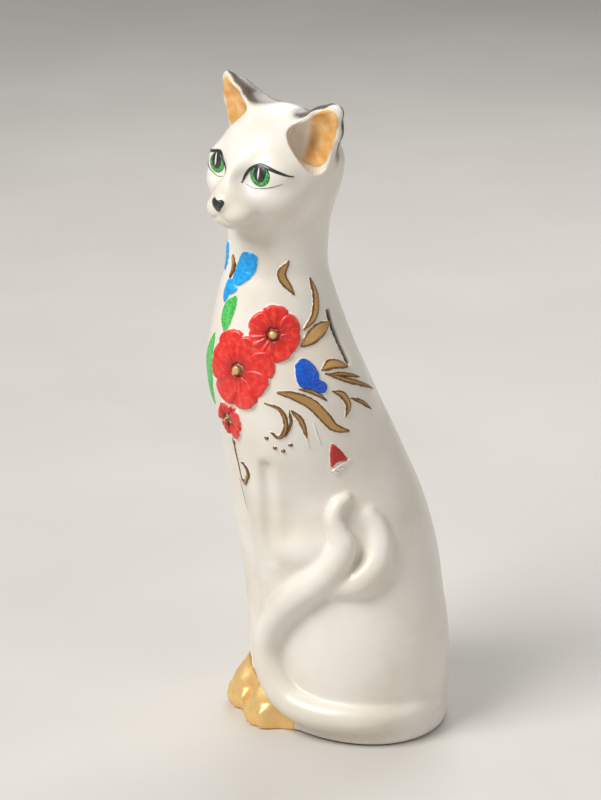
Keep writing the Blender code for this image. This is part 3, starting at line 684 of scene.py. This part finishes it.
# --- meshes
def grid_faces(rows, columns, closed, first):
    row, column = np.meshgrid(np.arange(rows - 1), np.arange(columns - (not closed)), indexing="ij")
    a = (row * columns + column).ravel()
    b = (row * columns + (column + 1) % columns).ravel()
    faces = (np.stack([a, a + columns, b + columns, b], 1) + first).tolist()
    if closed:
        faces.append(list(range(first, first + columns)))
    return faces


def new_piece(name, points, faces, material, slot, nodes=(), **values):
    """A mesh piece in the row frame that rides on the cat."""
    mesh = bpy.data.meshes.new(name)
    mesh.from_pydata(((points + np.array(SHIFT)) * MM).tolist(), [], faces)
    mesh.polygons.foreach_set("use_smooth", np.ones(len(mesh.polygons), bool))
    for key, value in values.items():
        mesh.attributes.new(key, "FLOAT", "POINT").data.foreach_set("value", value.astype(np.float32))
    mesh.materials.append(material)
    mesh.update()
    made = bpy.data.objects.new(name, mesh)
    bpy.context.scene.collection.objects.link(made)
    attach(made, "cat")
    if nodes:
        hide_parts(*nodes)


def relief(name, field, frame, shapes, material, slot, nodes=(), thickness=1.1, margin=MARGIN, swell=0.8,
           base=0.0):
    """Several flat shapes laid on one place and joined into one piece."""
    points, faces, edges, alongs = [], [], [], []
    count = 0
    for flat, edge, closed, *extra in shapes:
        lift = rise(edge, thickness, margin, swell) + base
        if extra:
            lift = lift + extra[0] * np.clip((edge + margin) / margin, 0, 1)
        points.append(drape(field, frame, flat, lift).reshape(-1, 3))
        faces += grid_faces(*edge.shape, closed, count)
        edges.append((extra[1] if len(extra) > 1 else edge).ravel())
        alongs.append(np.linalg.norm(flat, axis=-1).ravel())
        count += edge.size
    values = {"edge": np.concatenate(edges), "along": np.concatenate(alongs)}
    new_piece(name, np.vstack(points), faces, material, slot, nodes, **values)


# --- materials
class Shader:
    """A Principled material and short calls that add nodes to it."""

    def __init__(self, name, roughness, metallic=0.0, coat=0.0):
        self.material = bpy.data.materials.new(name)
        self.material.use_nodes = True
        self.tree = self.material.node_tree
        self.surface = self.tree.nodes["Principled BSDF"]
        self.surface.inputs["Roughness"].default_value = roughness
        self.surface.inputs["Metallic"].default_value = metallic
        self.surface.inputs["Coat Weight"].default_value = coat
        self.surface.inputs["Coat Roughness"].default_value = 0.12
        self.place = self.tree.nodes.new("ShaderNodeTexCoord").outputs["Object"]

    def link(self, source, target):
        self.tree.links.new(source, target)

    def value(self, name):
        node = self.tree.nodes.new("ShaderNodeAttribute")
        node.attribute_name = name
        return node.outputs["Fac"]

    def noise(self, scale, detail=3.0, roughness=0.5):
        node = self.tree.nodes.new("ShaderNodeTexNoise")
        node.inputs["Scale"].default_value = scale
        node.inputs["Detail"].default_value = detail
        node.inputs["Roughness"].default_value = roughness
        self.link(self.place, node.inputs["Vector"])
        return node.outputs["Fac"]

    def maths(self, operation, first, second):
        node = self.tree.nodes.new("ShaderNodeMath")
        node.operation = operation
        for socket, given in zip(node.inputs, (first, second)):
            if isinstance(given, (int, float)):
                socket.default_value = given
            else:
                self.link(given, socket)
        return node.outputs[0]

    def span(self, source, low, high, to_low=0.0, to_high=1.0):
        node = self.tree.nodes.new("ShaderNodeMapRange")
        node.interpolation_type = "SMOOTHSTEP"
        for name, given in (("From Min", low), ("From Max", high), ("To Min", to_low), ("To Max", to_high)):
            node.inputs[name].default_value = given
        self.link(source, node.inputs["Value"])
        return node.outputs["Result"]

    def mix(self, factor, first, second):
        node = self.tree.nodes.new("ShaderNodeMix")
        node.data_type = "RGBA"
        for socket, given in ((node.inputs[0], factor), (node.inputs[6], first), (node.inputs[7], second)):
            if isinstance(given, tuple):
                socket.default_value = (*given, 1.0)
            else:
                self.link(given, socket)
        return node.outputs[2]

    def bump(self, height, strength, distance):
        node = self.tree.nodes.new("ShaderNodeBump")
        node.inputs["Strength"].default_value = strength
        node.inputs["Distance"].default_value = distance
        self.link(height, node.inputs["Height"])
        self.link(node.outputs["Normal"], self.surface.inputs["Normal"])

    def colour(self, source):
        self.link(source, self.surface.inputs["Base Color"])
        return self.material

    def painted(self):
        """1 where the brush went and 0 on the bare rim, with a hand-drawn wobble."""
        wobble = self.maths("MULTIPLY", self.maths("SUBTRACT", self.noise(420), 0.5), 1.1)
        return self.span(self.maths("ADD", self.value("edge"), wobble), -0.12, 0.12)


WHITE = (0.83, 0.80, 0.74)
CREAM = (0.74, 0.68, 0.58)


def white_of(shader):
    """The body colour of the fired clay: warm white, faintly mottled."""
    return shader.mix(shader.span(shader.noise(28), 0.35, 0.75), WHITE, CREAM)


def glaze_material(name, smoky):
    shader = Shader(name, 0.4, coat=0.25)
    colour = white_of(shader)
    # Warm darkening in creases and grooves: painted shade.
    colour = shader.mix(shader.span(shader.value("hollow"), 0.15, 0.9, 0.0, 0.4), colour, (0.56, 0.47, 0.37))
    if smoky:
        speckle = shader.span(shader.noise(700), 0.2, 0.8, 0.85, 1.1)
        grain = shader.maths("MULTIPLY", shader.value("smoke"), speckle)
        colour = shader.mix(shader.span(grain, 0.05, 1.0, 0.0, 0.94), colour, (0.075, 0.048, 0.028))
        # Grey in the cheek and eye hollows: painted shade.
        shaded = shader.span(shader.value("shade"), 0.0, 1.0, 0.0, 0.45)
        colour = shader.mix(shaded, colour, (0.30, 0.26, 0.23))
    else:
        # Near black deep inside the coin slot: painted shade in the opening.
        colour = shader.mix(shader.span(shader.value("depth"), 0.4, 4.0), colour, (0.02, 0.018, 0.016))
        colour = shader.mix(shader.value("raw"), colour, (0.62, 0.50, 0.38))
    height = shader.maths("ADD", shader.noise(1400, 2.0), shader.maths("MULTIPLY", shader.noise(150), 2.5))
    shader.bump(height, 0.10, 0.0004)
    return shader.colour(colour)


def enamel_material(name, deep, light, bare=True):
    """Hand-brushed colour, thinner and paler in streaks, on a relief with a bare white rim."""
    shader = Shader(name, 0.32, coat=0.2)
    broad = shader.maths("MULTIPLY", shader.noise(140), 0.3)
    streaks = shader.maths("ADD", shader.noise(620, 4.0, 0.6), broad)
    colour = shader.mix(shader.span(streaks, 0.45, 0.95), deep, light)
    if bare:
        colour = shader.mix(shader.painted(), white_of(shader), colour)
    shader.bump(shader.noise(900, 3.0), 0.22, 0.0003)
    return shader.colour(colour)


def petal_material():
    shader = Shader("red petals", 0.34, coat=0.2)
    streaks = shader.noise(330, 4.0, 0.65)
    colour = shader.mix(shader.span(streaks, 0.42, 0.8), (0.72, 0.018, 0.012), (0.90, 0.10, 0.07))
    rim = shader.span(shader.value("edge"), 0.0, 1.5, 0.5, 0.0)
    colour = shader.mix(rim, colour, (0.93, 0.17, 0.13))
    # Darker red toward the flower's middle, where the petals dip to the bead: painted shade.
    colour = shader.mix(shader.span(shader.value("along"), 3.0, 10.0, 0.7, 0.0), colour, (0.36, 0.008, 0.006))
    colour = shader.mix(shader.painted(), white_of(shader), colour)
    shader.bump(streaks, 0.2, 0.0003)
    return shader.colour(colour)


def gold_material(name, deep, light, metallic, bare=True):
    shader = Shader(name, 0.36, metallic)
    brushed = shader.maths("MULTIPLY", shader.noise(900, 4.0, 0.6), 0.5)
    # Lighter along a stroke's crest and darker toward its edges: painted highlight and painted shade.
    crest_highlight = shader.maths("MULTIPLY", shader.span(shader.value("edge"), 0.1, 1.9), 0.55)
    colour = shader.mix(shader.span(shader.maths("ADD", brushed, crest_highlight), 0.22, 0.78), deep, light)
    if bare:
        mask = shader.painted()
        colour = shader.mix(mask, white_of(shader), colour)
        shader.link(shader.maths("MULTIPLY", mask, metallic), shader.surface.inputs["Metallic"])
    shader.link(shader.span(shader.noise(500), 0.3, 0.7, 0.3, 0.46), shader.surface.inputs["Roughness"])
    shader.bump(brushed, 0.25, 0.0003)
    return shader.colour(colour)


def lining_material():
    """Gold inside the ear that fades to white, with grey-brown painted shade low on the inner side."""
    shader = Shader("ear gold", 0.4, 0.25)
    grain = shader.noise(240, 3.0)
    gold = shader.mix(shader.span(grain, 0.3, 0.8), (0.80, 0.42, 0.12), (0.93, 0.62, 0.28))
    ragged = shader.maths("MULTIPLY", shader.maths("SUBTRACT", grain, 0.5), 0.5)
    pale = shader.maths("ADD", shader.value("fade"), ragged)
    colour = shader.mix(shader.span(pale, 0.45, 1.0), gold, WHITE)
    # Grey-brown low in the hollow of the ear: painted shade.
    smudge = shader.maths("MULTIPLY", shader.value("smudge"), shader.span(grain, 0.2, 0.7, 0.6, 1.0))
    colour = shader.mix(smudge, colour, (0.20, 0.14, 0.10))
    colour = shader.mix(shader.painted(), white_of(shader), colour)
    return shader.colour(colour)


def iris_material():
    shader = Shader("green iris", 0.18, coat=0.5)
    streaks = shader.noise(800, 3.0)
    colour = shader.mix(shader.span(streaks, 0.35, 0.7), (0.015, 0.19, 0.03), (0.10, 0.50, 0.12))
    colour = shader.mix(shader.span(shader.value("edge"), 0.0, 0.8, 0.75, 0.0), colour, (0.004, 0.05, 0.01))
    return shader.colour(colour)


def rubber_material():
    shader = Shader("stopper rubber", 0.72)
    colour = shader.mix(shader.span(shader.noise(600), 0.3, 0.8), (0.035, 0.034, 0.033), (0.09, 0.087, 0.083))
    shader.bump(shader.noise(2200, 2.0), 0.3, 0.0002)
    return shader.colour(colour)


def plain_material(name, first, second, roughness):
    shader = Shader(name, roughness)
    colour = shader.mix(shader.span(shader.noise(6), 0.3, 0.8), first, second)
    return shader.colour(colour)


# --- the castings
def hollow_of(field, points, reach=3.0):
    """How far a point lies in a crease: 0 in the open and 1 deep in a groove, used to paint shade into
    creases.
    """
    ahead = field.sample(points + unit(field.slope(points)) * reach)
    return np.clip(1.0 - ahead / reach, 0, 1)


def make_body(field, material):
    """The body and tail in one skin, with the slot, the foot ring and the stopper hole cut into it."""
    solid = field.values.copy()
    shape, low, high = slot_shape(body_frame(field, *SLOT_PLACE))
    field.apply(shape, low, high, 0.6, carve=True)
    wide, deep = FOOT_RADII
    low, high = (-wide - 3, HOLE_Y - deep - 3, -3), (wide + 3, HOLE_Y + deep + 3, FOOT_RECESS)
    field.apply(foot_shape, low, high, 0.8, carve=True)
    reach = HOLE_RADIUS + 1
    low, high = (-reach, HOLE_Y - reach, -3), (reach, HOLE_Y + reach, HOLE_DEPTH)
    field.apply(hole_shape, low, high, 0.6, carve=True)
    close_at_neck(field, 1.0, 6.0)
    points, faces = net(field.values, field.low, field.step)
    points = settle(field, points)
    hollow = hollow_of(field, points)
    field.values = solid
    height = points[:, 2]
    # Depth under the uncarved skin, above the foot; the glaze paints shade into the coin slot by it.
    depth = np.clip(-field.sample(points), 0, 10) * (height > 100)
    raw = (height < BARE_HEIGHT).astype(float) + (np.abs(height - FOOT_RECESS) < BARE_HEIGHT) * (depth < 1)
    under = np.hypot(points[:, 0] / wide, (points[:, 1] - HOLE_Y) / deep) < 1.02
    raw = np.where((height > BARE_HEIGHT) & ~under, 0.0, np.clip(raw, 0, 1))
    nodes = ("body_casting", "tail")
    new_piece("body_skin", points, faces.tolist(), material, "white_glaze", nodes,
              hollow=hollow, depth=depth, raw=raw)


def blot(local, centre, size):
    return np.exp(-((local - centre) ** 2).sum(-1) / (2 * size * size))


def make_head(field, material):
    close_at_neck(field, -1.0, 6.0)
    points, faces = net(field.values, field.low, field.step)
    points = settle(field, points)
    local = (points - HEAD_PLACE) @ HEAD_TURN
    facing = unit(field.slope(points)) @ HEAD_TURN
    smoke = np.zeros(len(points))
    for side in (1, -1):
        for x, y, z, size, strength in EAR_SMOKE:
            inward = 0.5 * facing[:, 1] + 0.5 * facing[:, 2] - 0.9 * side * facing[:, 0]
            turned_away = np.clip(0.2 + np.maximum(inward, 1.3 * facing[:, 1]), 0, 1)
            smoke += strength * turned_away * blot(local, (side * x, y, z), size)
    shade = np.zeros(len(points))
    for side in (1, -1):
        for x, y, z, size, strength in FACE_SHADE:
            shade += strength * blot(local, (side * x, y, z), size)
    nodes = ("head_casting", "ear_left", "ear_right")
    new_piece("head_skin", points, faces.tolist(), material, "white_glaze", nodes,
              hollow=hollow_of(field, points, 2.0), smoke=np.clip(smoke, 0, 1), shade=np.clip(shade, 0, 1))


# --- the painted work
def make_flowers(field, red, bead_gold):
    for name, angle, height, rows, middle in FLOWERS:
        frame = body_frame(field, angle, height)
        petals = [petal(*row) for row in rows]
        relief(name + "_petals_skin", field, frame, petals, red, "red_enamel", (name + "_petals",),
               thickness=1.9, swell=1.3)
        flat, edge, closed = disc(middle, middle, margin=0.1)
        dome = 1.5 * np.sqrt(np.clip(edge / middle, 0, 1))
        relief(name + "_bead_skin", field, frame, [(flat, edge, closed, dome)], bead_gold, "gold_lustre",
               (name + "_bead",), thickness=0.5, margin=0.1, base=1.3)


def make_leaves(field, green, gold):
    for name, angle, height, line, width in GREEN_LEAVES:
        flat, edge, closed = ribbon(line, width)
        rib = -0.5 * np.exp(-((edge - edge.max(1, keepdims=True)) / 0.7) ** 2) * np.clip(edge, 0, 1)
        relief(name + "_skin", field, body_frame(field, angle, height), [(flat, edge, closed, rib)], green,
               "green_enamel", (name,), swell=1.4)
    for name, angle, height, line, width in GOLD_LEAVES:
        relief(name + "_skin", field, body_frame(field, angle, height), [ribbon(line, width, 0.9)], gold,
               "gold_lustre", (name,), thickness=1.0, margin=0.9, swell=0.9)
    frame = body_frame(field, *DOTS_PLACE)
    for index, place in enumerate(DOTS, 1):
        relief(f"gold_dot_{index}_skin", field, frame, [disc(1.2, 1.0, place, margin=0.7, rings=8)], gold,
               "gold_lustre", (f"gold_dot_{index}",), thickness=0.9, margin=0.7)


def wing(outline, root, veins):
    """A wing with grooves that spread from its root."""
    flat, edge, closed = fan(outline)
    away = flat - np.array(root, float)
    angle = np.arctan2(away[..., 1], away[..., 0])
    groove = -0.4 * np.clip(np.cos(angle * veins) - 0.55, 0, 1) / 0.45 * np.clip(edge, 0, 1)
    return flat, edge, closed, groove


def make_butterflies(field, azure, blue, gold, red, white):
    for name, angle, height, outline, root, veins in WINGS:
        frame = body_frame(field, angle, height)
        first = name.startswith("butterfly_1")
        relief(name + "_skin", field, frame, [wing(outline, root, veins)], azure if first else blue,
               "azure_enamel" if first else "blue_enamel", (name,), swell=0.9)
    for name, angle, height, line, width in BUTTERFLY_BODIES:
        relief(name + "_skin", field, body_frame(field, angle, height), [ribbon(line, width, 0.6)], gold,
               "gold_lustre", (name,), thickness=1.6, margin=0.6, swell=1.2)
    frame = body_frame(field, *BUD_PLACE)
    relief("bud_petal_skin", field, frame, [fan(BUD_PETAL)], red, "red_enamel", ("bud_petal",), swell=1.4)
    sepals = [ribbon(line, width, 0.7) for line, width in BUD_SEPALS]
    relief("bud_sepals_skin", field, frame, sepals, white, "white_glaze", ("bud_sepals",), margin=0.7)


def make_faint_lines(field, white, gold, dark):
    """Bare ridges beside the flowers, and the thin gold stem down the chest drawn in black as a painted dark
    reflection.
    """
    for name, angle, height, line, width in RIDGES:
        finish, slot = (gold, "gold_lustre") if name.startswith("gold") else (white, "white_glaze")
        relief(name, field, body_frame(field, angle, height), [ribbon(line, width, 0.9)], finish, slot,
               thickness=0.7, margin=0.9)
    # The stem is gold lustre but is drawn in black enamel: a painted dark reflection of gold seen at a
    # grazing angle.
    name, angle, height, line, width = THIN_STEM
    relief(name, field, body_frame(field, angle, height), [ribbon(line, width, 0.2)], dark, "gold_lustre",
           thickness=0.12, margin=0.2, swell=0.1)


def mirrored(points, side):
    return [(side * x, *rest) for x, *rest in points]


def make_face(field, iris, black, white):
    frame = face_frame()
    thin = {"thickness": 0.3, "margin": 0.15, "swell": 0.2}
    for side, word in ((1, "left"), (-1, "right")):
        ring = disc(*IRIS, (side * EYE_X, -0.2), count=16, margin=0.15)
        relief(f"eye_{word}_skin", field, frame, [ring], iris, "green_enamel", ("eye_" + word,), **thin)
        pupil = disc(*PUPIL, (side * EYE_X, 1.1), count=16, margin=0.15)
        lid = ribbon(mirrored(LID, side), 1.7, 0.15, blunt=0.3)
        corner = ribbon(mirrored(LOWER_LID, side), 0.25, 0.12)
        relief(f"pupil_{word}_skin", field, frame, [pupil, lid, corner], black, "black_enamel",
               ("pupil_" + word,), base=0.16, **thin)
        glint = ribbon([(side * EYE_X + x, z) for x, z in GLINT], 1.2, 0.15)
        relief(f"glint_{word}", field, frame, [glint], white, "white_glaze", base=0.34, **thin)
    relief("nose_skin", field, frame, [fan(NOSE, margin=0.3)], black, "black_enamel", ("nose",),
           thickness=0.7, margin=0.3, swell=1.2)


def make_ear_linings(field, gold):
    for side, word in ((1, "left"), (-1, "right")):
        flat, edge, closed = fan(mirrored(CONCHA, side), (0.0, 8.0), margin=0.4, rings=20)
        points = drape(field, ear_plane(side), flat, rise(edge, 0.2, 0.4, 0.3) + 0.25, 6.0).reshape(-1, 3)
        across = side * flat[..., 0].ravel()
        along = flat[..., 1].ravel()
        fade = np.clip((0.5 - across + 0.35 * (6.0 - along)) / 7.0, 0, 1)
        # Where the grey-brown painted shade lies low in the ear's hollow.
        smudge = 0.8 * np.exp(-((across + 0.24 * along) ** 2 / 7.0 + (along - 1.0) ** 2 / 60.0))
        new_piece(f"ear_lining_{word}_skin", points, grid_faces(*edge.shape, closed, 0), gold, "gold_lustre",
                  ("ear_lining_" + word,), edge=edge.ravel(), fade=fade, smudge=smudge)


def make_paws(field, gold):
    """Gold over each front paw, laid on outward from inside the paw."""
    for side, word in ((1, "left"), (-1, "right")):
        centre = np.array([PAW_MIDDLE + side * PAW_SPREAD, -34.0, 8.0])
        azimuth = np.radians(np.linspace(-118, 118, 110))[:, None]
        top = 26.0 + 44.0 * np.clip(np.cos(azimuth), 0, 1) ** 2
        part = np.linspace(0, 1, 60)[None]
        elevation = np.radians(-32.0 + (top + 32.0) * part)
        azimuth = np.broadcast_to(azimuth, elevation.shape)
        way = np.stack([np.sin(azimuth) * np.cos(elevation), -np.cos(azimuth) * np.cos(elevation),
                        np.sin(elevation)], -1)
        start = np.broadcast_to(centre, way.shape)
        limit = PAW_REACH * (PAW_SIDEWAYS + (1.0 - PAW_SIDEWAYS) * np.cos(azimuth))
        surface = land(field, start, way, -1.0, limit)
        reach = np.linalg.norm(surface - centre, axis=-1)
        edge = (1.0 - part) * np.radians(60.0) * reach
        lift = 0.25 * np.clip(edge / 1.5, 0, 1)
        points = surface + unit(field.slope(surface)) * (lift[..., None] + 0.02)
        points[..., 2] = np.maximum(points[..., 2], 0.1)
        new_piece(f"front_paw_{word}_skin", points.reshape(-1, 3), grid_faces(*edge.shape, False, 0), gold,
                  "gold_lustre", ("front_paw_" + word,), edge=edge.ravel() - 0.6)


# --- the studio
def add_floor():
    mesh = bpy.data.meshes.new("floor")
    half = 3.0
    corners = [(-half, -half, 0), (half, -half, 0), (half, half, 0), (-half, half, 0)]
    mesh.from_pydata(corners, [], [(0, 1, 2, 3)])
    mesh.materials.append(plain_material("pale floor", (0.60, 0.58, 0.55), (0.64, 0.62, 0.59), 0.55))
    floor = bpy.data.objects.new("floor", mesh)
    bpy.context.scene.collection.objects.link(floor)


def view_axes():
    a, e = math.radians(VIEW_AZIMUTH), math.radians(VIEW_ELEVATION)
    back = Vector((math.sin(a) * math.cos(e), -math.cos(a) * math.cos(e), math.sin(e)))
    right = Vector((math.cos(a), math.sin(a), 0.0))
    return right, back.cross(right), back


def add_light(name, place, target, size, power, colour):
    light = bpy.data.lights.new(name, "AREA")
    light.size = size
    light.energy = power
    light.color = colour
    made = bpy.data.objects.new(name, light)
    made.location = place
    made.rotation_euler = (Vector(target) - Vector(place)).to_track_quat("-Z", "Y").to_euler()
    bpy.context.scene.collection.objects.link(made)


def add_lights():
    right, _, back = view_axes()
    middle = Vector((0.0, 0.0, 0.17))
    key = middle - right * 1.1 + back * 0.8 + Vector((0, 0, 1.25))
    add_light("key", key, middle, 1.0, 40.0, (1.0, 0.975, 0.94))
    fill = middle + right * 1.3 + back * 0.9 + Vector((0, 0, 0.5))
    add_light("fill", fill, middle, 1.4, 5.0, (1.0, 0.93, 0.84))
    rim = middle - back * 1.1 + right * 0.3 + Vector((0, 0, 1.2))
    add_light("rim", rim, middle, 0.9, 8.0, (1.0, 0.98, 0.95))
    world = bpy.data.worlds.new("studio")
    world.use_nodes = True
    world.node_tree.nodes["Background"].inputs["Color"].default_value = (0.50, 0.50, 0.50, 1.0)
    world.node_tree.nodes["Background"].inputs["Strength"].default_value = 0.58
    bpy.context.scene.world = world
    bpy.context.scene.view_settings.view_transform = "Standard"


def add_camera():
    right, up, back = view_axes()
    camera = bpy.data.cameras.new("camera")
    camera.lens = LENS
    camera.sensor_width = 36.0
    camera.clip_end = 20.0
    made = bpy.data.objects.new("camera", camera)
    place = Vector(SHIFT) * MM + back * VIEW_DISTANCE - right * VIEW_ASIDE + up * VIEW_RAISED
    made.matrix_world = Matrix.Translation(place) @ Matrix((right, up, back)).transposed().to_4x4()
    bpy.context.scene.collection.objects.link(made)
    bpy.context.scene.camera = made


def main():
    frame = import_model()
    coarse = 1.0
    white = glaze_material("white glaze", smoky=False)
    gold = gold_material("gold lustre", (0.16, 0.07, 0.018), (0.56, 0.33, 0.13), 0.5)
    paw_gold = gold_material("paw gold", (0.62, 0.33, 0.08), (0.90, 0.60, 0.24), 0.5)
    bead_gold = gold_material("bead gold", (0.30, 0.15, 0.04), (0.78, 0.52, 0.24), 0.5, bare=False)
    red = petal_material()
    plain_white = enamel_material("bare relief", WHITE, CREAM, bare=False)
    black = enamel_material("black enamel", (0.012, 0.012, 0.014), (0.05, 0.05, 0.055), bare=False)

    body = sculpt_trunk(1.1 * coarse)
    make_paws(body, paw_gold)
    add_tail(body)
    make_flowers(body, red, bead_gold)
    make_leaves(body, enamel_material("green enamel", (0.03, 0.42, 0.06), (0.16, 0.68, 0.20)), gold)
    azure = enamel_material("azure enamel", (0.0, 0.26, 0.74), (0.02, 0.50, 0.92))
    blue = enamel_material("blue enamel", (0.0, 0.06, 0.50), (0.0, 0.16, 0.75))
    make_butterflies(body, azure, blue, gold, red, plain_white)
    make_faint_lines(body, plain_white, gold, black)
    make_body(body, white)

    head = sculpt_head(0.75 * coarse)
    make_face(head, iris_material(), black, plain_white)
    make_ear_linings(head, lining_material())
    make_head(head, glaze_material("head glaze", smoky=True))

    stopper = frame["nodes"]["base_stopper"]
    stopper.data.materials.clear()
    stopper.data.materials.append(rubber_material())

    add_floor()
    add_lights()
    add_camera()


main()
